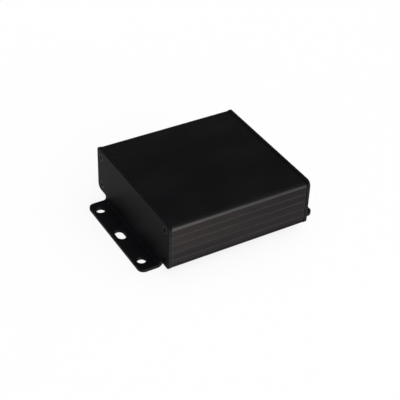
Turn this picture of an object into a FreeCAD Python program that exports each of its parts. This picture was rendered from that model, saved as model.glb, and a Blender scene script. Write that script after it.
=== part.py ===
import FreeCAD, Part
import math
import os
import Sketcher

# Extruded aluminium enclosure with flanged end plates, in millimetres.
# Two equal L-shaped extrusions make the box: the upper one is the top panel with the front wall, the
# lower one the bottom panel with the back wall. A bent plate with a mounting flange closes each end.
# X runs along the extrusion, Y from front to back, Z up. The origin lies on the surface that the
# flanges stand on, under the middle of the box.

os.makedirs("parts", exist_ok=True)
doc = FreeCAD.newDocument("enclosure")

DRIVING_SIZES = {
    # extruded profile, outside
    "shell_length": 84.2,
    "profile_width": 84.0,
    "profile_height": 28.0,
    "side_wall": 2.0,
    "panel_wall": 2.2,
    "edge_radius": 4.2,
    "joint_radius": 1.5,
    "end_chamfer": 0.3,
    # lapped joint between the shells
    "lap_skin": 1.0,
    "tongue_thickness": 0.9,
    "tongue_rise": 1.2,
    "joint_clearance": 0.1,
    "seam_chamfer": 0.2,
    # fine grooves along the outside of each side wall
    "groove_count": 4,
    "groove_start": 7.4,
    "groove_margin": 3.25,
    "groove_width": 1.0,
    "groove_depth": 0.19,
    # slots for a circuit board along the inside of each side wall
    "rib_count": 4,
    "rib_thickness": 1.2,
    "rib_depth": 1.8,
    "board_slot": 1.9,
    # open channels that the end plate screws cut into
    "screw_inset": 4.6,
    "channel_outer": 4.6,
    "channel_bore": 2.7,
    "channel_slot": 1.4,
    "channel_web": 2.0,
    # end plates
    "sheet_thickness": 2.0,
    "plate_overhang": 0.3,
    "foot_overhang": 0.05,
    "plate_corner": 3.5,
    "plate_edge_break": 0.2,
    "bend_radius": 1.5,
    "tab_depth": 1.3,
    "relief_radius": 0.8,
    "flange_inset": 9.5,
    "flange_reach": 11.6,
    "flange_corner": 3.6,
    "fixing_bore": 5.3,
    "fixing_margin": 7.8,
    "fixing_setback": 4.6,
    "fixing_slot": 8.7,
    # countersunk screws
    "screw_hole": 3.4,
    "screw_head": 5.5,
    "screw_land": 0.15,
    "screw_sink": 0.05,
    "screw_core": 2.5,
    "screw_length": 8.0,
    "screw_tip": 0.4,
    "seat_clearance": 0.05,
    "recess_span": 2.8,
    "recess_width": 0.7,
    "recess_depth": 1.1,
}
COUNTERSINK_ANGLE = 90.0
SCREW_TURN = 35.0  # how far each cross recess stands from the one before
TINY = 1e-4

LEFT = FreeCAD.Vector(-1, 0, 0)
RIGHT = FreeCAD.Vector(1, 0, 0)
FRONT = FreeCAD.Vector(0, -1, 0)
BACK = FreeCAD.Vector(0, 1, 0)
UP = FreeCAD.Vector(0, 0, 1)
DOWN = FreeCAD.Vector(0, 0, -1)


# Sizes and the expressions that give them

class Size:
    """A number together with the spreadsheet expression that gives it."""

    def __init__(self, value, text):
        self.value = value
        self.text = text

    def combine(self, value, sign, other):
        return Size(value, "(" + self.text + " " + sign + " " + other.text + ")")

    def __add__(self, other):
        other = as_size(other)
        return self.combine(self.value + other.value, "+", other)

    def __sub__(self, other):
        other = as_size(other)
        return self.combine(self.value - other.value, "-", other)

    def __mul__(self, other):
        other = as_size(other)
        return self.combine(self.value * other.value, "*", other)

    def __truediv__(self, other):
        other = as_size(other)
        return self.combine(self.value / other.value, "/", other)

    def __neg__(self):
        return as_size(0) - self


def as_size(number):
    if isinstance(number, Size):
        return number
    return Size(float(number), repr(number))


sheet = doc.addObject("Spreadsheet::Sheet", "Sizes")
for row, (alias, number) in enumerate(DRIVING_SIZES.items(), start=1):
    sheet.set("A" + str(row), alias.replace("_", " "))
    sheet.set("B" + str(row), str(number))
    sheet.setAlias("B" + str(row), alias)
doc.recompute()


def size(alias):
    return Size(float(sheet.get(alias)), "Sizes." + alias)


length = size("shell_length")
width = size("profile_width")
height = size("profile_height")
side_wall = size("side_wall")
panel_wall = size("panel_wall")
edge_radius = size("edge_radius")
screw_inset = size("screw_inset")
thickness = size("sheet_thickness")
overhang = size("plate_overhang")
plate_width = width + overhang * 2
flange_width = plate_width - size("flange_inset") * 2
zero = as_size(0)

# heights above the surface that the flanges stand on
plate_foot = thickness + size("bend_radius") + size("tab_depth")
shell_base = plate_foot + size("foot_overhang")
shell_top = shell_base + height
plate_top = shell_top + overhang


# Sketches

def bind(thing, path, value):
    """Tie one property to the spreadsheet."""
    thing.setExpression(path, value.text)


def dimension(sketch, value, kind, *ends):
    """Add a dimension to a sketch and tie it to its size."""
    index = sketch.addConstraint(Sketcher.Constraint(kind, *ends, value.value))
    bind(sketch, "Constraints[" + str(index) + "]", value)


def place(sketch, geometry, point, x=None, y=None):
    """Hold a point of the sketch at a signed distance from the origin, along one axis or both."""
    for kind, axis, value in (("DistanceX", -2, x), ("DistanceY", -1, y)):
        if value is None:
            continue
        if abs(value.value) < TINY:
            sketch.addConstraint(Sketcher.Constraint("PointOnObject", geometry, point, axis))
        elif value.value > 0:
            dimension(sketch, value, kind, -1, 1, geometry, point)
        else:
            dimension(sketch, -value, kind, geometry, point, -1, 1)


def add_arc(sketch, centre, start, end):
    """Add the short arc between two points and say which of its ends is the first point."""
    first = math.atan2(start.y - centre.y, start.x - centre.x)
    last = math.atan2(end.y - centre.y, end.x - centre.x)
    forward = (last - first) % (2 * math.pi) < math.pi
    if not forward:
        first, last = last, first
    circle = Part.Circle(centre, UP, start.distanceToPoint(centre))
    arc = sketch.addGeometry(Part.ArcOfCircle(circle, first, last))
    return arc, 1 if forward else 2


def add_outline(sketch, corners):
    """Closed outline of straight sides.

    A corner is (x, y), or (x, y, radius) where two sides at right angles meet in an arc.
    """
    count = len(corners)
    points = [FreeCAD.Vector(corner[0].value, corner[1].value, 0) for corner in corners]
    spans = [points[(i + 1) % count] - points[i] for i in range(count)]
    level = [abs(span.y) < TINY for span in spans]
    upright = [abs(span.x) < TINY for span in spans]
    cuts = [corner[2].value if len(corner) > 2 else 0.0 for corner in corners]
    arrive = [points[i] - spans[i - 1].normalize() * cuts[i] for i in range(count)]
    leave = [points[i] + spans[i].normalize() * cuts[i] for i in range(count)]

    sides = []
    for i in range(count):
        side = sketch.addGeometry(Part.LineSegment(leave[i], arrive[(i + 1) % count]))
        sides.append(side)
        if level[i]:
            sketch.addConstraint(Sketcher.Constraint("Horizontal", side))
            place(sketch, side, 1, y=corners[i][1])
        if upright[i]:
            sketch.addConstraint(Sketcher.Constraint("Vertical", side))
            place(sketch, side, 1, x=corners[i][0])

    for i in range(count):
        if cuts[i]:
            centre = arrive[i] + leave[i] - points[i]
            arc, start = add_arc(sketch, centre, arrive[i], leave[i])
            sketch.addConstraint(Sketcher.Constraint("Tangent", sides[i - 1], 2, arc, start))
            sketch.addConstraint(Sketcher.Constraint("Tangent", arc, 3 - start, sides[i], 1))
            dimension(sketch, corners[i][2], "Radius", arc)
            continue
        sketch.addConstraint(Sketcher.Constraint("Coincident", sides[i - 1], 2, sides[i], 1))
        if not upright[i - 1] and not upright[i]:
            place(sketch, sides[i], 1, x=corners[i][0])
        if not level[i - 1] and not level[i]:
            place(sketch, sides[i], 1, y=corners[i][1])


def add_rectangle(sketch, x0, y0, x1, y1):
    add_outline(sketch, [(x0, y0), (x1, y0), (x1, y1), (x0, y1)])


def add_circle(sketch, x, y, diameter):
    centre = FreeCAD.Vector(x.value, y.value, 0)
    circle = sketch.addGeometry(Part.Circle(centre, UP, diameter.value / 2))
    place(sketch, circle, 3, x=x, y=y)
    dimension(sketch, diameter, "Diameter", circle)


def add_slot(sketch, x, y, slot_width, slot_length):
    """Slot with round ends, running along the sketch's first axis."""
    radius = slot_width / 2
    reach = (slot_length - slot_width) / 2
    ends = []
    for centre_x, turn in ((x - reach, math.pi / 2), (x + reach, -math.pi / 2)):
        centre = FreeCAD.Vector(centre_x.value, y.value, 0)
        circle = Part.Circle(centre, UP, radius.value)
        ends.append(sketch.addGeometry(Part.ArcOfCircle(circle, turn, turn + math.pi)))
        place(sketch, ends[-1], 3, x=centre_x)
    place(sketch, ends[0], 3, y=y)
    for offset, left_end, right_end in ((radius, 1, 2), (-radius, 2, 1)):
        start = FreeCAD.Vector((x - reach).value, (y + offset).value, 0)
        finish = FreeCAD.Vector((x + reach).value, (y + offset).value, 0)
        side = sketch.addGeometry(Part.LineSegment(start, finish))
        sketch.addConstraint(Sketcher.Constraint("Tangent", side, 1, ends[0], left_end))
        sketch.addConstraint(Sketcher.Constraint("Tangent", side, 2, ends[1], right_end))
    sketch.addConstraint(Sketcher.Constraint("Horizontal", side))
    sketch.addConstraint(Sketcher.Constraint("Equal", ends[0], ends[1]))
    dimension(sketch, radius, "Radius", ends[0])


# Bodies and their features

def origin_feature(body, role):
    for feature in body.Origin.OriginFeatures:
        if feature.Role == role:
            return feature
    raise ValueError("no origin feature " + role)


def new_body(label, corner, across, along, outward):
    """Body whose own axes point the given ways, with its own origin at a corner given by sizes."""
    body = doc.addObject("PartDesign::Body", label)
    body.Label = label
    base = FreeCAD.Vector(*(value.value for value in corner))
    body.Placement = FreeCAD.Placement(base, FreeCAD.Rotation(across, along, outward, "ZXY"))
    for axis, value in zip("xyz", corner):
        bind(body, "Placement.Base." + axis, value)
    return body


def new_sketch(body, name, plane="XY_Plane", offset=None):
    sketch = body.newObject("Sketcher::SketchObject", body.Label + "_" + name + "_sketch")
    sketch.AttachmentSupport = [(origin_feature(body, plane), "")]
    sketch.MapMode = "FlatFace"
    if offset is not None:
        bind(sketch, "AttachmentOffset.Base.z", offset)
    return sketch


def new_feature(body, kind, name):
    return body.newObject("PartDesign::" + kind, body.Label + "_" + name)


def finish(body, feature):
    """Make a feature the body's last one and bring it up to date."""
    body.Tip = feature
    doc.recompute()
    return feature


def pad(body, name, sketch, depth):
    feature = new_feature(body, "Pad", name)
    feature.Profile = sketch
    bind(feature, "Length", depth)
    return finish(body, feature)


def cut_through(body, name, sketch):
    """Cut the sketch right through the body, both ways from its plane."""
    feature = new_feature(body, "Pocket", name)
    feature.Profile = sketch
    feature.Type = "ThroughAll"
    feature.SideType = "Symmetric"
    return finish(body, feature)


def repeat(body, name, feature, axis, count, span):
    pattern = new_feature(body, "LinearPattern", name)
    pattern.Originals = [feature]
    pattern.Direction = (origin_feature(body, axis), [""])
    bind(pattern, "Length", span)
    bind(pattern, "Occurrences", count)
    return finish(body, pattern)


def edges_where(feature, test):
    edges = enumerate(feature.Shape.Edges, start=1)
    return ["Edge" + str(number) for number, edge in edges if test(edge)]


# Extruded shells

def draw_profile(sketch):
    """Panel along the first axis and side wall along the second, with the two halves of the lap joint.

    The far end of the panel carries a tongue. The far end of the wall is cut back inside, so that it
    laps over the tongue of the other shell. Small chamfers on both leave a fine seam line.
    """
    chamfer = size("seam_chamfer")
    skin = size("lap_skin")
    clearance = size("joint_clearance")
    tongue_outside = width - skin
    tongue_inside = tongue_outside - size("tongue_thickness")
    tongue_top = panel_wall + size("tongue_rise")
    wall_end = height - panel_wall
    lap_end = height - tongue_top - clearance
    lap_inside = skin - clearance
    add_outline(sketch, [
        (zero, zero, edge_radius),
        (width, zero, size("joint_radius")),
        (width, panel_wall - chamfer),
        (width - chamfer, panel_wall),
        (tongue_outside, panel_wall),
        (tongue_outside, tongue_top),
        (tongue_inside, tongue_top),
        (tongue_inside, panel_wall),
        (side_wall, panel_wall),
        (side_wall, lap_end),
        (lap_inside, lap_end),
        (lap_inside, wall_end),
        (chamfer, wall_end),
        (zero, wall_end - chamfer),
    ])


def break_cut_ends(body, base):
    """Chamfer the outside rim of both sawn ends."""

    def on_outer_rim(edge):
        box = edge.BoundBox
        rounded = edge.Curve.TypeId == "Part::GeomCircle"
        outside = box.XMax < TINY or box.YMax < TINY or box.XMin > width.value - TINY
        return box.ZLength < TINY and (rounded or outside)

    chamfer = new_feature(body, "Chamfer", "cut_ends")
    chamfer.Base = (base, edges_where(base, on_outer_rim))
    bind(chamfer, "Size", size("end_chamfer"))
    return finish(body, chamfer)


def add_screw_channels(body):
    """Channels open along their inner side, one in the rounded corner and one near the wall's end."""
    centres = (screw_inset, height - screw_inset)
    half_web = size("channel_web") / 2
    half_slot = size("channel_slot") / 2
    outer = size("channel_outer")

    sketch = new_sketch(body, "channel_tubes")
    for centre in centres:
        add_circle(sketch, screw_inset, centre, outer)
    pad(body, "channel_tubes", sketch, length)

    sketch = new_sketch(body, "channel_webs")
    for centre in centres:
        add_rectangle(sketch, side_wall / 2, centre - half_web, screw_inset, centre + half_web)
    pad(body, "channel_webs", sketch, length)

    sketch = new_sketch(body, "corner_fill")
    add_rectangle(sketch, side_wall, panel_wall, screw_inset, screw_inset)
    pad(body, "corner_fill", sketch, length)

    sketch = new_sketch(body, "channel_bores")
    for centre in centres:
        add_circle(sketch, screw_inset, centre, size("channel_bore"))
    cut_through(body, "channel_bores", sketch)

    sketch = new_sketch(body, "channel_slots")
    for centre in centres:
        add_rectangle(sketch, screw_inset, centre - half_slot, screw_inset + outer, centre + half_slot)
    cut_through(body, "channel_slots", sketch)


def add_board_slots(body):
    """Ribs inside the wall, spaced evenly about the middle of the box, with board slots between."""
    count = size("rib_count")
    rib = size("rib_thickness")
    span = (rib + size("board_slot")) * (count - 1)
    first = (height - span) / 2
    sketch = new_sketch(body, "board_rib")
    add_rectangle(sketch, side_wall / 2, first - rib / 2, side_wall + size("rib_depth"), first + rib / 2)
    board_rib = pad(body, "board_rib", sketch, length)
    repeat(body, "board_ribs", board_rib, "Y_Axis", count, span)


def add_outer_grooves(body):
    """Fine grooves along the outside of the wall, spread evenly from its rounded edge to its end."""
    first = size("groove_start")
    last = height - panel_wall - size("groove_margin")
    half = size("groove_width") / 2
    sketch = new_sketch(body, "groove")
    add_outline(sketch, [(zero, first - half), (size("groove_depth"), first), (zero, first + half)])
    groove = cut_through(body, "groove", sketch)
    repeat(body, "grooves", groove, "Y_Axis", size("groove_count"), last - first)


def make_shell(label, corner, across, along):
    body = new_body(label, corner, across, along, LEFT)
    sketch = new_sketch(body, "profile")
    draw_profile(sketch)
    base = pad(body, "profile", sketch, length)
    break_cut_ends(body, base)
    add_screw_channels(body)
    add_board_slots(body)
    add_outer_grooves(body)
    return body


# End plates

def draw_plate(sketch, corner_radii):
    """Flat of the end plate with the tab that runs down into the bend."""
    tab_left = size("flange_inset")
    tab_right = tab_left + flange_width
    tab_foot = thickness + size("bend_radius")
    relief = size("relief_radius")
    foot_left, foot_right, top_right, top_left = corner_radii
    add_outline(sketch, [
        (zero, plate_foot, foot_left),
        (tab_left, plate_foot, relief),
        (tab_left, tab_foot),
        (tab_right, tab_foot),
        (tab_right, plate_foot, relief),
        (plate_width, plate_foot, foot_right),
        (plate_width, plate_top, top_right),
        (zero, plate_top, top_left),
    ])


def add_flange(body):
    """Bend and flange, drawn from the side and run along the plate's foot."""
    bend = size("bend_radius")
    tip = thickness + size("flange_reach")
    sketch = new_sketch(body, "flange", "YZ_Plane", size("flange_inset"))
    add_outline(sketch, [
        (plate_foot, zero),
        (zero, zero, bend + thickness),
        (zero, tip),
        (thickness, tip),
        (thickness, thickness, bend),
        (plate_foot, thickness),
    ])
    flange = pad(body, "flange", sketch, flange_width)

    def at_flange_corner(edge):
        box = edge.BoundBox
        return box.ZMin > tip.value - TINY and box.XLength < TINY

    corners = new_feature(body, "Fillet", "flange_corners")
    corners.Base = (flange, edges_where(flange, at_flange_corner))
    bind(corners, "Radius", size("flange_corner"))
    finish(body, corners)


def break_edges(body):
    """Chamfer the rims that stand free: round the plate's outer face and the flange's upper face."""
    shape = body.Tip

    def on_free_rim(edge):
        box = edge.BoundBox
        on_plate = box.ZMin > thickness.value - TINY and box.ZLength < TINY
        round_plate = on_plate and box.YMax > plate_foot.value - TINY
        on_flange = box.YMin > thickness.value - TINY and box.YLength < TINY
        round_flange = on_flange and box.ZMax > thickness.value + size("bend_radius").value + TINY
        return round_plate or round_flange

    chamfer = new_feature(body, "Chamfer", "edges")
    chamfer.Base = (shape, edges_where(shape, on_free_rim))
    bind(chamfer, "Size", size("plate_edge_break"))
    finish(body, chamfer)


def add_fixing_holes(body):
    """Two round holes with a slot between them, through the flange."""
    bore = size("fixing_bore")
    middle = plate_width / 2
    reach = flange_width / 2 - size("fixing_margin")
    row = thickness + size("flange_reach") - size("fixing_setback")
    sketch = new_sketch(body, "fixing_holes", "XZ_Plane")
    add_circle(sketch, middle - reach, row, bore)
    add_circle(sketch, middle + reach, row, bore)
    add_slot(sketch, middle, row, bore, size("fixing_slot"))
    cut_through(body, "fixing_holes", sketch)


def add_screw_holes(body):
    """Countersunk holes over the ends of the screw channels."""
    head_room = size("screw_land") + size("screw_sink") + size("seat_clearance")
    hole = size("screw_hole")
    sketch = new_sketch(body, "screw_holes", "XY_Plane", thickness)
    for x in (overhang + screw_inset, overhang + width - screw_inset):
        for y in (shell_base + screw_inset, shell_top - screw_inset):
            add_circle(sketch, x, y, hole)
    doc.recompute()
    holes = new_feature(body, "Hole", "screw_holes")
    holes.Profile = sketch
    holes.DepthType = "ThroughAll"
    holes.HoleCutType = "Countersink"
    holes.HoleCutCustomValues = True
    holes.HoleCutCountersinkAngle = COUNTERSINK_ANGLE
    bind(holes, "Diameter", hole)
    bind(holes, "HoleCutDiameter", size("screw_head") + head_room * 2)
    finish(body, holes)


def make_end_plate(label, corner, across, outward, corner_radii):
    body = new_body(label, corner, across, UP, outward)
    sketch = new_sketch(body, "plate")
    draw_plate(sketch, corner_radii)
    pad(body, "plate", sketch, thickness)
    add_flange(body)
    break_edges(body)
    add_fixing_holes(body)
    add_screw_holes(body)
    return body


# Screws

def draw_half_screw(sketch):
    """Half section of the screw, from the middle of its tip round the head and back."""
    core = size("screw_core") / 2
    head = size("screw_head") / 2
    total = size("screw_length")
    land = total - size("screw_land")
    tip = size("screw_tip")
    add_outline(sketch, [
        (zero, zero),
        (core - tip, zero),
        (core, tip),
        (core, land - head + core),
        (head, land),
        (head, total),
        (zero, total),
    ])


def draw_cross(sketch):
    """Cross with four equal arms, centred on the screw."""
    arm = size("recess_width") / 2
    reach = size("recess_span") / 2
    add_outline(sketch, [
        (reach, -arm),
        (reach, arm),
        (arm, arm),
        (arm, reach),
        (-arm, reach),
        (-arm, arm),
        (-reach, arm),
        (-reach, -arm),
        (-arm, -arm),
        (-arm, -reach),
        (arm, -reach),
        (arm, -arm),
    ])


def make_screw(label, tip, outward, turn):
    """Countersunk screw with a cross recess turned about its axis; the thread is a plain core."""
    angle = math.radians(turn)
    across = BACK * math.cos(angle) + UP * math.sin(angle)
    body = new_body(label, tip, across, outward.cross(across), outward)
    sketch = new_sketch(body, "half_section", "XZ_Plane")
    draw_half_screw(sketch)
    turned = new_feature(body, "Revolution", "turned")
    turned.Profile = sketch
    turned.ReferenceAxis = (sketch, ["V_Axis"])
    finish(body, turned)

    sketch = new_sketch(body, "recess", "XY_Plane", size("screw_length"))
    draw_cross(sketch)
    recess = new_feature(body, "Pocket", "recess")
    recess.Profile = sketch
    bind(recess, "Length", size("recess_depth"))
    finish(body, recess)
    return body


# The enclosure

half_length = length / 2
half_width = width / 2
half_plate = half_width + overhang
lower_shell = make_shell("lower_shell", (half_length, half_width, shell_base), FRONT, UP)
upper_shell = make_shell("upper_shell", (half_length, -half_width, shell_top), BACK, DOWN)

# A plate has large corners over the shells' rounded edges, at top front and bottom back, and small
# ones where the two shells meet. Each plate is seen from outside, starting at its bottom left.
large = size("plate_corner")
small = size("joint_radius") + overhang
left_plate = make_end_plate(
    "left_end_plate", (-half_length, half_plate, zero), FRONT, LEFT, (large, small, large, small))
right_plate = make_end_plate(
    "right_end_plate", (half_length, -half_plate, zero), BACK, RIGHT, (small, large, small, large))
parts = [lower_shell, upper_shell, left_plate, right_plate]

screw_tip_x = half_length + thickness - size("screw_sink") - size("screw_length")
screw_y = half_width - screw_inset
turn = 0
for end, outward, x in (("left", LEFT, -screw_tip_x), ("right", RIGHT, screw_tip_x)):
    for level, z in (("top", shell_top - screw_inset), ("bottom", shell_base + screw_inset)):
        for side, y in (("front", -screw_y), ("back", screw_y)):
            label = "_".join((end, level, side, "screw"))
            turn += SCREW_TURN
            parts.append(make_screw(label, (x, y, z), outward, turn))


# Check and write

doc.recompute()
for thing in doc.Objects:
    faults = [state for state in thing.State if state in ("Invalid", "Error")]
    if faults:
        raise RuntimeError(thing.Name + ": " + ", ".join(faults))
for body in parts:
    if body.Shape.isNull() or not body.Shape.isValid() or len(body.Shape.Solids) != 1:
        raise RuntimeError(body.Label + " is not one sound solid")
    body.Shape.exportStep(os.path.join("parts", body.Label + ".step"))
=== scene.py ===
import math

import bmesh
import bpy
import numpy as np
from bpy.props import FloatProperty, FloatVectorProperty, IntProperty, PointerProperty
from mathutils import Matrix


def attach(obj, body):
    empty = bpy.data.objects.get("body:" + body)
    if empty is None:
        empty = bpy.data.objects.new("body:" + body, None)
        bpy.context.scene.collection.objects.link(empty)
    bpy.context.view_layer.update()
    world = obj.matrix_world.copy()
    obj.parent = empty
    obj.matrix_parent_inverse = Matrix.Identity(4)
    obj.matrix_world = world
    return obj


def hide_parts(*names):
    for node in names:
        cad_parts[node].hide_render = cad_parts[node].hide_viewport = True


bl_info = {
    "name": "Extruded Enclosure",
    "version": (1, 0, 0),
    "blender": (4, 5, 0),
    "location": "3D View > Sidebar > Enclosure",
    "description": "Finishes a flanged aluminium enclosure and sets it on a pale studio floor",
    "category": "Object",
}

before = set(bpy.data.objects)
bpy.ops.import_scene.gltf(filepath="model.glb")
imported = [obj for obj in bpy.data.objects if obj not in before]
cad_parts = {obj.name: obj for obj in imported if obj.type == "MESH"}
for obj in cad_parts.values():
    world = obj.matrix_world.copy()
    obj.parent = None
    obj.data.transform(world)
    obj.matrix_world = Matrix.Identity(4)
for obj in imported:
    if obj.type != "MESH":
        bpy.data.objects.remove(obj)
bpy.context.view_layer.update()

SHELLS = ("upper_shell", "lower_shell")
END_PLATES = ("left_end_plate", "right_end_plate")
SCREWS = tuple(
    "_".join((end, level, side, "screw"))
    for end in ("left", "right") for level in ("top", "bottom") for side in ("front", "back"))

# Part of the normal that lies along an axis, where one side passes into the next
WALL_TURN = (0.8, 0.97)
CUT_TURN = (0.3, 0.6)
EDGE_START = (0.12, 0.3)
EDGE_END = (0.75, 0.95)
FLANK_TURN = (0.2, 0.32)
FOLD_SIDE = (0.2, 0.5)
FOLD_TURN = (0.05, 0.3)

# Product of the distances from the two middle planes, in square metres, round the rounded edges
EDGE_REACH = (-0.00041, -0.00036)

# Grains of noise per metre along X, Y and Z
BROAD_LINES = (9.0, 620.0, 620.0)
STREAKS = (14.0, 190.0, 190.0)
FINE_LINES = (30.0, 2600.0, 2600.0)
SHELL_CLOUDS = (28.0, 40.0, 40.0)
SHELL_GRAIN = (9000.0, 9000.0, 9000.0)
PLATE_CLOUDS = (60.0, 60.0, 60.0)
PLATE_GRAIN = (3500.0, 3500.0, 3500.0)
SCREW_SPOTS = (900.0, 900.0, 900.0)
FLOOR_MOTTLE = (3.0, 3.0, 3.0)

# Parts of the noise's range that show
MIDDLE_NOISE = (0.3, 0.7)
LINE_NOISE = (0.32, 0.70)
STREAK_NOISE = (0.45, 0.68)
WEAR_NOISE = (0.55, 0.8)

# Factors that the noise puts on the colours
SHELL_CLOUD_TONE = (0.82, 1.2)
PLATE_CLOUD_TONE = (0.85, 1.15)
FLOOR_TONE = (0.99, 1.01)

# Heights in metres between which the streaks grow denser, and by how much
STREAK_HEIGHT = (0.010, 0.024)
STREAK_SHIFT = (-0.06, 0.07)

# What the noise adds to the roughness
FINE_LINE_ROUGHNESS = 0.12
SHELL_CLOUD_ROUGHNESS = 0.06
PLATE_CLOUD_ROUGHNESS = 0.1
PLATE_GRAIN_ROUGHNESS = 0.06
SCREW_ROUGHNESS = (0.34, 0.48)

# Heights of the finer relief, as shares of the broad lines' height
FINE_LINE_HEIGHT = 0.2
SHELL_GRAIN_HEIGHT = 0.05

# Fine relief of plates and screws: its depth in metres and how strongly it shows
GRAIN_DEPTH = 0.00002
PLATE_GRAIN_STRENGTH = 0.6
SCREW_SPOT_STRENGTH = 0.4

ANODISED_IOR = 1.45
SCREW_GLOSS = 0.06
SCREW_WEAR = 0.5

# Points round a quarter of a screw: across the end of an arm of the recess, and beside it
ARM_POINTS = 6
SIDE_POINTS = 12

# Exponent of the thread's ridge, how far a rounded rim has bent halfway, and a guard against zero
THREAD_SHARPNESS = 1.6
HALFWAY_ROUND = 0.3
SMALLEST_SINE = 1e-6

# The recess widens at its rim and tapers below it: share of its depth, of its reach, of its arm
RECESS_RIM = (1.04, 1.16)
RECESS_TAPER = ((0.45, 0.8, 0.88), (0.8, 0.56, 0.72))

SHARP_ANGLE = math.radians(38.0)
MERGE_DISTANCE = 1e-7

# The floor lies just under the flanges, and what it sheds fades from left to right
FLOOR_DROP = 0.00005
FLOOR_RINGS = 25
FLOOR_SECTORS = 96
FLOOR_FADE = (-0.04, 0.08)
FLOOR_SHED = (0.95, 0.2)
WHITE = (1.0, 1.0, 1.0, 1.0)

# Sines of the surroundings' elevation, and bearings to the right of straight ahead
SKY_HEIGHT = (0.0, 0.35)
GLOW_HEIGHT = (0.36, 0.64)
GLOW_LEFT = (math.radians(-50.0), math.radians(-20.0))
GLOW_RIGHT = (math.radians(19.0), math.radians(33.0))

# Where the overhead lamp hangs, seen from the object, and the angle that it fills
LAMP_DIRECTION = (0.25, -0.3, 1.0)
LAMP_SOFTNESS = math.radians(110.0)

SENSOR_WIDTH = 36.0
CLIP_START = 0.01
CLIP_END = 50.0


# Shader building

def add_node(tree, kind, inputs=None, **settings):
    """New shader node; an input is either a plain value or another node's output to link."""
    made = tree.nodes.new(kind)
    for name, value in settings.items():
        setattr(made, name, value)
    for name, value in (inputs or {}).items():
        fill_socket(tree, made.inputs[name], value)
    return made


def fill_socket(tree, socket, value):
    """Link another node's output to an input, or set the plain value on it."""
    if isinstance(value, bpy.types.NodeSocket):
        tree.links.new(value, socket)
    else:
        socket.default_value = value


def maths(tree, operation, first, second=0.0, third=0.0):
    """Output of a Math node; each operand is a number or another node's output."""
    operands = {0: first, 1: second, 2: third}
    return add_node(tree, "ShaderNodeMath", operands, operation=operation).outputs[0]


def times(tree, first, second):
    """Product of two numbers or outputs."""
    return maths(tree, "MULTIPLY", first, second)


def remap(tree, value, span, result):
    """Value carried from one range to another and clamped there, eased at both ends."""
    settings = {
        "Value": value, "From Min": span[0], "From Max": span[1],
        "To Min": result[0], "To Max": result[1]}
    made = add_node(tree, "ShaderNodeMapRange", settings, interpolation_type="SMOOTHSTEP")
    return made.outputs["Result"]


def rise(tree, value, span):
    """Mask that goes from 0 to 1 as a value crosses a span."""
    return remap(tree, value, span, (0.0, 1.0))


def fall(tree, value, span):
    """Mask that goes from 1 to 0 as a value crosses a span."""
    return remap(tree, value, span, (1.0, 0.0))


def between(tree, mask, low, high):
    """Value that goes from low to high as a mask goes from 0 to 1."""
    return remap(tree, mask, (0.0, 1.0), (low, high))


def parts_of(tree, vector):
    """The X, Y and Z outputs of a vector."""
    return add_node(tree, "ShaderNodeSeparateXYZ", {0: vector}).outputs


def stretched_noise(tree, coordinates, scale, detail=3.0, roughness=0.55):
    """Noise whose grains are stretched by a different scale along each axis."""
    mapping = add_node(tree, "ShaderNodeMapping", {"Vector": coordinates, "Scale": scale})
    settings = {
        "Vector": mapping.outputs[0], "Scale": 1.0, "Detail": detail, "Roughness": roughness}
    return add_node(tree, "ShaderNodeTexNoise", settings).outputs["Fac"]


def mix_colours(tree, factor, first, second):
    """Colour that goes from the first to the second with a factor."""
    made = add_node(tree, "ShaderNodeMix", {0: factor, 6: first, 7: second}, data_type="RGBA")
    return made.outputs[2]


def shade(tree, colour, factor):
    """Colour made lighter or darker by a factor that varies over the surface."""
    settings = {0: colour, "Scale": factor}
    return add_node(tree, "ShaderNodeVectorMath", settings, operation="SCALE").outputs[0]


def relief(tree, height, strength, distance):
    """Normal of a surface with this fine relief."""
    settings = {"Height": height, "Strength": strength, "Distance": distance}
    return add_node(tree, "ShaderNodeBump", settings).outputs[0]


def opaque(colour):
    """Colour with full alpha."""
    return (*colour, 1.0)


def new_material(name):
    """Empty node material with its output node."""
    material = bpy.data.materials.new(name)
    material.use_nodes = True
    tree = material.node_tree
    tree.nodes.clear()
    return material, tree, add_node(tree, "ShaderNodeOutputMaterial")


def cover(tree, output, inputs):
    """Let a principled surface with these inputs be what the material shows."""
    surface = add_node(tree, "ShaderNodeBsdfPrincipled", inputs)
    tree.links.new(surface.outputs[0], output.inputs["Surface"])


# Materials

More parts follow.
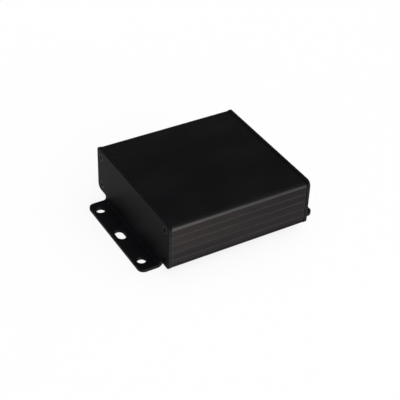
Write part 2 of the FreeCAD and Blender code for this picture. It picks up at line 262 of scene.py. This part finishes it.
def extrusion_material(finish, half_length, middle_height):
    """Black anodised extrusion: fine die lines along X, browner walls, bare metal on sawn ends.

    A paler grey band is painted as a highlight along the sharp edges of the ends, at half_length
    from the middle.
    """
    material, tree, output = new_material("black_anodised_extrusion")
    coordinates = add_node(tree, "ShaderNodeTexCoord").outputs
    place = coordinates["Object"]
    spread = parts_of(tree, place)
    facing = parts_of(tree, coordinates["Normal"])
    wall = rise(tree, maths(tree, "ABSOLUTE", facing["Y"]), WALL_TURN)
    upright = maths(tree, "ABSOLUTE", facing["Z"])
    sideways = fall(tree, upright, CUT_TURN)
    cut_end = rise(tree, maths(tree, "ABSOLUTE", facing["X"]), CUT_TURN)
    cut_end = times(tree, cut_end, sideways)

    broad_lines = stretched_noise(tree, place, BROAD_LINES, detail=4.0, roughness=0.65)
    bands = stretched_noise(tree, place, STREAKS, roughness=0.6)
    fine_lines = stretched_noise(tree, place, FINE_LINES, detail=2.0)
    clouds = stretched_noise(tree, place, SHELL_CLOUDS)
    grain = stretched_noise(tree, place, SHELL_GRAIN, detail=2.0)

    colour = mix_colours(tree, wall, opaque(finish.panel_colour), opaque(finish.wall_colour))
    higher = remap(tree, spread["Z"], STREAK_HEIGHT, STREAK_SHIFT)
    streaks = rise(tree, maths(tree, "ADD", bands, higher), STREAK_NOISE)
    streaks = times(tree, wall, streaks)
    colour = mix_colours(tree, streaks, colour, opaque(finish.streak_colour))
    lines = remap(tree, broad_lines, LINE_NOISE, (-1.0, 1.0))
    contrast = between(tree, wall, finish.panel_contrast, finish.line_contrast)
    line_tone = maths(tree, "MULTIPLY_ADD", lines, contrast, 1.0)
    cloud_tone = remap(tree, clouds, MIDDLE_NOISE, SHELL_CLOUD_TONE)
    colour = shade(tree, colour, times(tree, line_tone, cloud_tone))
    # Painted highlight: a paler grey band along the sawn ends of the walls
    highlight_span = (half_length - finish.highlight_width, half_length - finish.highlight_width / 2)
    wear_and_highlight = rise(tree, maths(tree, "ABSOLUTE", spread["X"]), highlight_span)
    wear_and_highlight = times(tree, wear_and_highlight, sideways)
    colour = mix_colours(tree, wear_and_highlight, colour, opaque(finish.wear_and_highlight_colour))
    colour = mix_colours(tree, cut_end, colour, opaque(finish.metal_colour))

    smoothest = finish.roughness - FINE_LINE_ROUGHNESS / 2
    roughness = maths(tree, "MULTIPLY_ADD", fine_lines, FINE_LINE_ROUGHNESS, smoothest)
    roughness = maths(tree, "MULTIPLY_ADD", clouds, SHELL_CLOUD_ROUGHNESS, roughness)
    height = maths(tree, "MULTIPLY_ADD", fine_lines, FINE_LINE_HEIGHT, broad_lines)
    height = maths(tree, "MULTIPLY_ADD", grain, SHELL_GRAIN_HEIGHT, height)
    cover(tree, output, {
        "Base Color": colour,
        "Roughness": roughness,
        "Normal": relief(tree, height, 1.0, finish.line_depth),
        "Metallic": cut_end,
        "IOR": ANODISED_IOR,
        "Specular IOR Level": extrusion_gloss(tree, finish, spread, facing, wall, middle_height),
    })
    return material


def extrusion_gloss(tree, finish, spread, facing, wall, middle_height):
    """Gloss of the extrusion, higher on its two rounded edges and on the grooves' upper flanks.

    The rounded edges are the front top and the back bottom one, where the product of the
    distances from the two middle planes is well below zero.
    """
    upright = maths(tree, "ABSOLUTE", facing["Z"])
    rounded = times(tree, rise(tree, upright, EDGE_START), fall(tree, upright, EDGE_END))
    from_middle = maths(tree, "SUBTRACT", spread["Z"], middle_height)
    outward = times(tree, spread["Y"], from_middle)
    rounded = times(tree, rounded, fall(tree, outward, EDGE_REACH))
    flank = remap(tree, facing["Z"], FLANK_TURN, (0.0, finish.groove_gloss))
    edge = between(tree, rounded, finish.gloss, finish.edge_gloss)
    return maths(tree, "MAXIMUM", edge, times(tree, wall, flank))


def plate_material(finish):
    """Black anodised sheet: even satin with a very fine grain, faintly cloudy.

    It is shinier on its cut rims and duller in the fold above the flange.
    """
    material, tree, output = new_material("black_anodised_sheet")
    coordinates = add_node(tree, "ShaderNodeTexCoord").outputs
    place = coordinates["Object"]
    facing = parts_of(tree, coordinates["Normal"])
    rim = rise(tree, maths(tree, "ABSOLUTE", facing["Y"]), WALL_TURN)
    endways = rise(tree, maths(tree, "ABSOLUTE", facing["X"]), FOLD_SIDE)
    upright = rise(tree, maths(tree, "ABSOLUTE", facing["Z"]), FOLD_TURN)
    folded = times(tree, endways, upright)
    shine = between(tree, rim, finish.plate_gloss, finish.rim_gloss)
    shine = times(tree, shine, between(tree, folded, 1.0, finish.fold_gloss))
    clouds = stretched_noise(tree, place, PLATE_CLOUDS, detail=4.0)
    grain = stretched_noise(tree, place, PLATE_GRAIN)
    cloud_tone = remap(tree, clouds, MIDDLE_NOISE, PLATE_CLOUD_TONE)
    smoothest = finish.plate_roughness - PLATE_CLOUD_ROUGHNESS / 2
    roughness = maths(tree, "MULTIPLY_ADD", clouds, PLATE_CLOUD_ROUGHNESS, smoothest)
    roughness = maths(tree, "MULTIPLY_ADD", grain, PLATE_GRAIN_ROUGHNESS, roughness)
    cover(tree, output, {
        "Base Color": shade(tree, tuple(finish.plate_colour), cloud_tone),
        "Roughness": roughness,
        "Normal": relief(tree, grain, PLATE_GRAIN_STRENGTH, GRAIN_DEPTH),
        "Metallic": 0.0,
        "IOR": ANODISED_IOR,
        "Specular IOR Level": shine,
    })
    return material


def screw_material(finish):
    """Black oxide on steel, slightly rubbed to grey in small spots."""
    material, tree, output = new_material("black_oxide_steel")
    place = add_node(tree, "ShaderNodeTexCoord").outputs["Object"]
    spots = stretched_noise(tree, place, SCREW_SPOTS, detail=4.0)
    wear_and_highlight = remap(tree, spots, WEAR_NOISE, (0.0, SCREW_WEAR))
    oxide, rubbed = opaque(finish.screw_colour), opaque(finish.wear_and_highlight_colour)
    cover(tree, output, {
        "Base Color": mix_colours(tree, wear_and_highlight, oxide, rubbed),
        "Roughness": remap(tree, spots, MIDDLE_NOISE, SCREW_ROUGHNESS),
        "Normal": relief(tree, spots, SCREW_SPOT_STRENGTH, GRAIN_DEPTH),
        "Metallic": 0.0,
        "Specular IOR Level": SCREW_GLOSS,
    })
    return material


def floor_material(stage):
    """Pale floor that shows the camera a lighter white than it sheds, and keeps a faint shadow.

    The glow that glossy pieces mirror in it fades from left to right.
    """
    material, tree, output = new_material("pale_floor")
    path = add_node(tree, "ShaderNodeLightPath").outputs
    place = add_node(tree, "ShaderNodeTexCoord").outputs["Object"]
    mirrored = times(tree, path["Is Glossy Ray"], stage.mirrored_glow)
    share = maths(tree, "MULTIPLY_ADD", path["Is Camera Ray"], stage.floor_glow, mirrored)
    fading = remap(tree, parts_of(tree, place)["X"], FLOOR_FADE, FLOOR_SHED)
    strength = maths(tree, "MAXIMUM", path["Is Camera Ray"], fading)
    mottle = stretched_noise(tree, place, FLOOR_MOTTLE)
    floor_tone = remap(tree, mottle, MIDDLE_NOISE, FLOOR_TONE)
    colour = shade(tree, tuple(stage.floor_colour), floor_tone)
    lit = add_node(tree, "ShaderNodeBsdfDiffuse", {"Color": colour})
    glow = add_node(tree, "ShaderNodeEmission", {"Color": WHITE, "Strength": strength})
    shaders = {0: share, 1: lit.outputs[0], 2: glow.outputs[0]}
    blend = add_node(tree, "ShaderNodeMixShader", shaders)
    tree.links.new(blend.outputs[0], output.inputs["Surface"])
    return material


# Surfaces

def ring_mesh(name, points):
    """Mesh of rings of points, shape (rings, points, 3), with quads from each ring to the next."""
    rings, columns = points.shape[:2]
    index = np.arange(rings * columns).reshape(rings, columns)
    index = np.hstack([index, index[:, :1]])
    corners = [index[:-1, :-1], index[:-1, 1:], index[1:, 1:], index[1:, :-1]]
    quads = np.stack(corners, axis=-1)
    mesh = bpy.data.meshes.new(name)
    mesh.from_pydata(points.reshape(-1, 3), [], quads.reshape(-1, 4))
    mesh.update()
    join_poles(mesh)
    return mesh


def join_poles(mesh):
    """Merge the points that the rings repeat at the two poles."""
    work = bmesh.new()
    work.from_mesh(mesh)
    bmesh.ops.remove_doubles(work, verts=work.verts, dist=MERGE_DISTANCE)
    work.to_mesh(mesh)
    work.free()


def smooth_faces(mesh):
    """Smooth shading that keeps the sharp edges."""
    mesh.polygons.foreach_set("use_smooth", np.ones(len(mesh.polygons), dtype=bool))
    mesh.set_sharp_from_angle(angle=SHARP_ANGLE)


def screw_surface(sizes, total, tip, outward, turn):
    """Countersunk screw as one surface of rings round its axis, from the tip to the recess's foot.

    point = tip + depth * outward + radius * (cos angle * across + sin angle * along). Each ring
    has a depth and a radius from the profile. On the shank the thread adds
    rise * (0.5 + 0.5 * cos(2 pi * (depth / pitch - angle / 2 pi))) ** sharpness, faded in and out
    at both ends. Inside the recess the radius is the cross's: min(reach / cos, half arm / sin) of
    the angle from the nearest arm.
    """
    core, head = sizes.core / 2, sizes.head / 2
    soft, land = sizes.edge_softness, sizes.land
    shank_end = total - land - (head - core)
    reach, arm, deep = sizes.recess_span / 2, sizes.recess_width / 2, sizes.recess_depth

    corner = math.atan(arm / reach)
    end_of_arm = np.linspace(-corner, corner, ARM_POINTS, endpoint=False)
    side_of_arm = np.linspace(corner, np.pi / 2 - corner, SIDE_POINTS, endpoint=False)
    quarter = np.concatenate([end_of_arm, side_of_arm])
    angle = np.concatenate([quarter + np.pi / 2 * arm_number for arm_number in range(4)])
    from_arm = np.abs((angle + np.pi / 4) % (np.pi / 2) - np.pi / 4)

    def cross(reach_share, arm_share):
        along_arm = reach * reach_share / np.cos(from_arm)
        beside_arm = arm * arm_share / np.maximum(np.sin(from_arm), SMALLEST_SINE)
        return np.minimum(along_arm, beside_arm)

    shank = np.linspace(sizes.tip, shank_end, sizes.rings)
    turns = shank[:, None] / sizes.pitch - angle / (2 * np.pi)
    ridge = (0.5 + 0.5 * np.cos(2 * np.pi * turns)) ** THREAD_SHARPNESS
    fade_in = np.clip((shank - sizes.tip) / sizes.pitch, 0, 1)
    fade_out = np.clip((shank_end - shank) / sizes.pitch, 0, 1)
    thread = core + (sizes.thread / 2 - core) * ridge * (fade_in * fade_out)[:, None]

    foot = [(0.0, 0.0), (0.0, core - sizes.tip)]
    top = [
        (total - land - soft, head - soft),
        (total - land - HALFWAY_ROUND * soft, head - HALFWAY_ROUND * soft),
        (total - land + soft / 2, head),
        (total - soft, head),
        (total - HALFWAY_ROUND * soft, head - HALFWAY_ROUND * soft),
        (total, head - soft),
        (total, (head + reach) / 2),
        (total, cross(*RECESS_RIM)),
        (total - soft / 2, cross(1.0, 1.0)),
    ]
    for fallen, reach_share, arm_share in RECESS_TAPER:
        top.append((total - fallen * deep, cross(reach_share, arm_share)))
    top.append((total - deep, 0.0))
    around = np.ones_like(angle)
    depth = np.concatenate([[row[0] for row in foot], shank, [row[0] for row in top]])
    radius = np.vstack([
        [row[1] * around for row in foot], thread, [row[1] * around for row in top]])

    across = np.array((0.0, math.cos(turn), math.sin(turn)))
    along = np.cross(outward, across)
    ring = np.cos(angle)[:, None] * across + np.sin(angle)[:, None] * along
    return tip + depth[:, None, None] * outward + radius[:, :, None] * ring


# Pieces

def node_box(name):
    """Lowest and highest corner of a CAD piece."""
    corners = np.array(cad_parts[name].bound_box)
    return corners.min(axis=0), corners.max(axis=0)


def finish_nodes(names, material):
    """Give each of these CAD pieces the material on all its slots."""
    for name in names:
        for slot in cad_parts[name].material_slots:
            slot.link = "OBJECT"
            slot.material = material


def new_piece(name, mesh, material):
    """Object at the origin with this mesh and material."""
    mesh.materials.append(material)
    piece = bpy.data.objects.new(name, mesh)
    bpy.context.scene.collection.objects.link(piece)
    return piece


# Stage

def lay_floor(stage):
    """Flat disc just under the flanges: point = (radius * cos angle, radius * sin angle, -drop)."""
    radii = np.linspace(0.0, stage.floor_radius, FLOOR_RINGS)
    angles = np.linspace(0, 2 * np.pi, FLOOR_SECTORS, endpoint=False)
    radius, angle = np.meshgrid(radii, angles, indexing="ij")
    level = np.full_like(radius, -FLOOR_DROP)
    points = np.stack([radius * np.cos(angle), radius * np.sin(angle), level], axis=-1)
    floor = new_piece("floor", ring_mesh("floor", points), floor_material(stage))


def light_surroundings(scene, stage):
    """Studio surroundings: pale near the horizon, darker overhead, with a soft glow in front."""
    world = bpy.data.worlds.new("studio")
    world.use_nodes = True
    tree = world.node_tree
    tree.nodes.clear()
    direction = parts_of(tree, add_node(tree, "ShaderNodeTexCoord").outputs["Generated"])
    sky = remap(tree, direction["Z"], SKY_HEIGHT, (stage.sky_low, stage.sky_high))
    ahead = times(tree, direction["Y"], -1.0)
    bearing = maths(tree, "ARCTAN2", direction["X"], ahead)
    glow = remap(tree, bearing, GLOW_RIGHT, (stage.front_glow, 0.0))
    glow = times(tree, glow, rise(tree, bearing, GLOW_LEFT))
    glow = times(tree, glow, fall(tree, direction["Z"], GLOW_HEIGHT))
    strength = maths(tree, "MAXIMUM", sky, glow)
    background = add_node(tree, "ShaderNodeBackground", {"Color": WHITE, "Strength": strength})
    output = add_node(tree, "ShaderNodeOutputWorld")
    tree.links.new(background.outputs[0], output.inputs["Surface"])
    scene.world = world


def hang_lamp(scene, stage):
    """Distant soft lamp overhead, a little to the front and right, that no piece mirrors."""
    light = bpy.data.lights.new("overhead_lamp", "SUN")
    light.energy = stage.overhead_light
    light.angle = LAMP_SOFTNESS
    lamp = bpy.data.objects.new("overhead_lamp", light)
    x, y, z = np.array(LAMP_DIRECTION) / np.linalg.norm(LAMP_DIRECTION)
    lamp.rotation_euler = (math.acos(z), 0.0, math.atan2(x, -y))
    lamp.visible_glossy = False
    scene.collection.objects.link(lamp)


def set_camera(scene, stage):
    """Camera at the place from which the photo was taken."""
    data = bpy.data.cameras.new("photo_camera")
    data.sensor_width = SENSOR_WIDTH
    data.lens = stage.camera_lens
    data.clip_start = CLIP_START
    data.clip_end = CLIP_END
    camera = bpy.data.objects.new("photo_camera", data)
    camera.location = stage.camera_place
    camera.rotation_euler = stage.camera_turn
    scene.collection.objects.link(camera)
    scene.camera = camera


# Sizes and colours a user may change

class ExtrusionFinish(bpy.types.PropertyGroup):
    panel_colour: FloatVectorProperty(
        name="Panel colour", description="Anodised colour of the top and bottom panels",
        subtype="COLOR", default=(0.0049, 0.0050, 0.0056), min=0.0, max=1.0)
    wall_colour: FloatVectorProperty(
        name="Wall colour", description="Warmer anodised colour of the two side walls",
        subtype="COLOR", default=(0.0078, 0.0053, 0.0062), min=0.0, max=1.0)
    streak_colour: FloatVectorProperty(
        name="Streak colour", description="Brown of the streaks along the side walls",
        subtype="COLOR", default=(0.0145, 0.0096, 0.0092), min=0.0, max=1.0)
    # Painted highlight: colour and width of the paler grey band along the shells' sawn ends
    wear_and_highlight_colour: FloatVectorProperty(
        name="Wear and highlight colour",
        description="Grey painted as a highlight along the edges of the sawn ends",
        subtype="COLOR", default=(0.055, 0.053, 0.054), min=0.0, max=1.0)
    highlight_width: FloatProperty(
        name="Highlight width", description="How far the painted highlight reaches from the sawn ends",
        subtype="DISTANCE", unit="LENGTH", default=0.0006, min=0.0, max=0.01, precision=5)
    metal_colour: FloatVectorProperty(
        name="Metal colour", description="Bare aluminium on the sawn ends and their chamfers",
        subtype="COLOR", default=(0.30, 0.30, 0.31), min=0.0, max=1.0)
    roughness: FloatProperty(
        name="Roughness", description="Middle roughness of the anodised skin",
        subtype="FACTOR", default=0.22, min=0.0, max=1.0)
    gloss: FloatProperty(
        name="Gloss", description="Strength of the plain reflection",
        subtype="FACTOR", default=0.225, min=0.0, max=1.0)
    edge_gloss: FloatProperty(
        name="Edge gloss",
        description="Strength of the reflection on the rounded edges, rubbed smooth by handling",
        subtype="FACTOR", default=1.0, min=0.0, max=1.0)
    groove_gloss: FloatProperty(
        name="Groove gloss", description="Strength of the reflection on the grooves' upper flanks",
        subtype="FACTOR", default=0.6, min=0.0, max=1.0)
    line_contrast: FloatProperty(
        name="Line contrast", description="How much the die lines vary the walls' colour",
        subtype="FACTOR", default=0.35, min=0.0, max=1.0)
    panel_contrast: FloatProperty(
        name="Panel contrast", description="How much the die lines vary the panels' colour",
        subtype="FACTOR", default=0.08, min=0.0, max=1.0)
    line_depth: FloatProperty(
        name="Line depth", description="Depth of the die lines left by the extrusion press",
        subtype="DISTANCE", unit="LENGTH", default=0.000008, min=0.0, max=0.001, precision=6)


class PlateFinish(bpy.types.PropertyGroup):
    plate_colour: FloatVectorProperty(
        name="Plate colour", description="Anodised colour of the end plates and their flanges",
        subtype="COLOR", default=(0.0063, 0.0060, 0.0073), min=0.0, max=1.0)
    plate_roughness: FloatProperty(
        name="Roughness", description="Middle roughness of the end plates",
        subtype="FACTOR", default=0.5, min=0.0, max=1.0)
    plate_gloss: FloatProperty(
        name="Gloss", description="Strength of the plain reflection of the end plates",
        subtype="FACTOR", default=0.048, min=0.0, max=1.0)
    rim_gloss: FloatProperty(
        name="Rim gloss", description="Strength of the plain reflection on the plates' cut rims",
        subtype="FACTOR", default=0.25, min=0.0, max=1.0)
    fold_gloss: FloatProperty(
        name="Fold gloss",
        description="Share of the gloss that the stretched fold above the flange keeps",
        subtype="FACTOR", default=0.55, min=0.0, max=1.0)


class ScrewSettings(bpy.types.PropertyGroup):
    head: FloatProperty(
        name="Head", description="Diameter of the countersunk head",
        subtype="DISTANCE", unit="LENGTH", default=0.0055, precision=5)
    land: FloatProperty(
        name="Land", description="Height of the plain band round the head",
        subtype="DISTANCE", unit="LENGTH", default=0.00015, precision=5)
    edge_softness: FloatProperty(
        name="Edge softness", description="How far the head's rim is rounded",
        subtype="DISTANCE", unit="LENGTH", default=0.00008, precision=5)
    core: FloatProperty(
        name="Core", description="Diameter at the foot of the thread",
        subtype="DISTANCE", unit="LENGTH", default=0.0024, precision=5)
    thread: FloatProperty(
        name="Thread", description="Diameter over the thread",
        subtype="DISTANCE", unit="LENGTH", default=0.00295, precision=5)
    pitch: FloatProperty(
        name="Pitch", description="Distance from one turn of the thread to the next",
        subtype="DISTANCE", unit="LENGTH", default=0.0005, precision=5)
    tip: FloatProperty(
        name="Tip", description="Height of the bevel at the tip",
        subtype="DISTANCE", unit="LENGTH", default=0.0004, precision=5)
    recess_span: FloatProperty(
        name="Recess span", description="Width over two arms of the cross recess",
        subtype="DISTANCE", unit="LENGTH", default=0.0028, precision=5)
    recess_width: FloatProperty(
        name="Recess width", description="Width of one arm of the cross recess",
        subtype="DISTANCE", unit="LENGTH", default=0.0007, precision=5)
    recess_depth: FloatProperty(
        name="Recess depth", description="Depth at the middle of the cross recess",
        subtype="DISTANCE", unit="LENGTH", default=0.0012, precision=5)
    turn_step: FloatProperty(
        name="Turn step", description="How far each recess is turned from the one before",
        subtype="ANGLE", default=math.radians(35.0))
    rings: IntProperty(
        name="Rings", description="Rings of points along the threaded shank", default=120, min=10)
    screw_colour: FloatVectorProperty(
        name="Screw colour", description="Black oxide colour of the screws",
        subtype="COLOR", default=(0.004, 0.004, 0.0043), min=0.0, max=1.0)
    wear_and_highlight_colour: FloatVectorProperty(
        name="Wear and highlight colour", description="Colour where the oxide has rubbed thin",
        subtype="COLOR", default=(0.012, 0.012, 0.0125), min=0.0, max=1.0)


class StageSetup(bpy.types.PropertyGroup):
    floor_radius: FloatProperty(
        name="Floor radius", description="Radius of the round floor",
        subtype="DISTANCE", unit="LENGTH", default=6.0, min=0.5)
    floor_colour: FloatVectorProperty(
        name="Floor colour", description="Colour of the floor",
        subtype="COLOR", default=(0.94, 0.94, 0.94), min=0.0, max=1.0)
    floor_glow: FloatProperty(
        name="Floor glow", description="Share of plain white in what the camera sees of the floor",
        subtype="FACTOR", default=0.86, min=0.0, max=1.0)
    mirrored_glow: FloatProperty(
        name="Mirrored glow", description="Share of plain white in what pieces mirror of the floor",
        subtype="FACTOR", default=0.45, min=0.0, max=1.0)
    sky_low: FloatProperty(
        name="Low sky", description="Brightness of the surroundings near the horizon",
        default=1.0, min=0.0, max=2.0)
    sky_high: FloatProperty(
        name="High sky", description="Brightness of the surroundings overhead",
        default=0.05, min=0.0, max=2.0)
    front_glow: FloatProperty(
        name="Front glow", description="Brightness of the soft glow in front",
        default=1.9, min=0.0)
    overhead_light: FloatProperty(
        name="Overhead light", description="Strength of the soft light from above",
        default=2.95, min=0.0)
    camera_place: FloatVectorProperty(
        name="Camera place", description="Where the camera stands",
        subtype="TRANSLATION", unit="LENGTH", default=(-0.2520, -0.4126, 0.3691))
    camera_turn: FloatVectorProperty(
        name="Camera turn", description="How the camera is turned",
        subtype="EULER", unit="ROTATION",
        default=(math.radians(53.211), math.radians(-1.736), math.radians(-30.064)))
    camera_lens: FloatProperty(
        name="Lens", description="Focal length on a 36 mm wide sensor",
        unit="CAMERA", default=95.47, min=1.0)


# Operators

class ENCLOSURE_OT_finish_shells(bpy.types.Operator):
    """Give the two extruded shells their anodised finish"""
    bl_idname = "enclosure.finish_shells"
    bl_label = "Finish Shells"

    def execute(self, context):
        half_length = node_box("upper_shell")[1][0]
        middle_height = (node_box("lower_shell")[0][2] + node_box("upper_shell")[1][2]) / 2
        finish = context.scene.enclosure_extrusion
        finish_nodes(SHELLS, extrusion_material(finish, half_length, middle_height))
        return {"FINISHED"}


class ENCLOSURE_OT_finish_end_plates(bpy.types.Operator):
    """Give the two flanged end plates their anodised finish"""
    bl_idname = "enclosure.finish_end_plates"
    bl_label = "Finish End Plates"

    def execute(self, context):
        finish_nodes(END_PLATES, plate_material(context.scene.enclosure_plates))
        return {"FINISHED"}


class ENCLOSURE_OT_drive_screws(bpy.types.Operator):
    """Put a threaded, cross recessed screw in place of each plain one"""
    bl_idname = "enclosure.drive_screws"
    bl_label = "Drive Screws"

    def execute(self, context):
        settings = context.scene.enclosure_screws
        material = screw_material(settings)
        for number, name in enumerate(SCREWS, start=1):
            low, high = node_box(name)
            length = high[0] - low[0]
            outward = np.array((math.copysign(1.0, low[0] + high[0]), 0.0, 0.0))
            tip = (low + high) / 2 - outward * length / 2
            points = screw_surface(settings, length, tip, outward, settings.turn_step * number)
            mesh = ring_mesh(name + "_threaded", points)
            smooth_faces(mesh)
            screw = new_piece(name + "_threaded", mesh, material)
            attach(screw, "root")
            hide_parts(name)
        return {"FINISHED"}


class ENCLOSURE_OT_set_stage(bpy.types.Operator):
    """Lay the pale floor, light the surroundings, hang the soft lamp and set up the camera"""
    bl_idname = "enclosure.set_stage"
    bl_label = "Set Stage"

    def execute(self, context):
        scene = context.scene
        stage = scene.enclosure_stage
        lay_floor(stage)
        light_surroundings(scene, stage)
        hang_lamp(scene, stage)
        set_camera(scene, stage)
        return {"FINISHED"}


# Panel and registration

class ENCLOSURE_PT_sidebar(bpy.types.Panel):
    """Lists the steps and their settings"""
    bl_idname = "ENCLOSURE_PT_sidebar"
    bl_label = "Extruded Enclosure"
    bl_space_type = "VIEW_3D"
    bl_region_type = "UI"
    bl_category = "Enclosure"

    def draw(self, context):
        for group_name, _, operator in STEPS:
            box = self.layout.box()
            group = getattr(context.scene, group_name)
            for name in group.__annotations__:
                box.prop(group, name)
            box.operator(operator.bl_idname)


STEPS = (
    ("enclosure_extrusion", ExtrusionFinish, ENCLOSURE_OT_finish_shells),
    ("enclosure_plates", PlateFinish, ENCLOSURE_OT_finish_end_plates),
    ("enclosure_screws", ScrewSettings, ENCLOSURE_OT_drive_screws),
    ("enclosure_stage", StageSetup, ENCLOSURE_OT_set_stage),
)
CLASSES = (
    *(group for _, group, _ in STEPS), *(operator for _, _, operator in STEPS),
    ENCLOSURE_PT_sidebar)


def register():
    for cls in CLASSES:
        bpy.utils.register_class(cls)
    for name, group, _ in STEPS:
        setattr(bpy.types.Scene, name, PointerProperty(type=group))


def unregister():
    for name, _, _ in STEPS:
        delattr(bpy.types.Scene, name)
    for cls in reversed(CLASSES):
        bpy.utils.unregister_class(cls)


def main():
    register()
    bpy.context.scene.view_settings.view_transform = "Standard"
    bpy.ops.enclosure.finish_shells()
    bpy.ops.enclosure.finish_end_plates()
    bpy.ops.enclosure.drive_screws()
    bpy.ops.enclosure.set_stage()


if __name__ == "__main__":
    main()
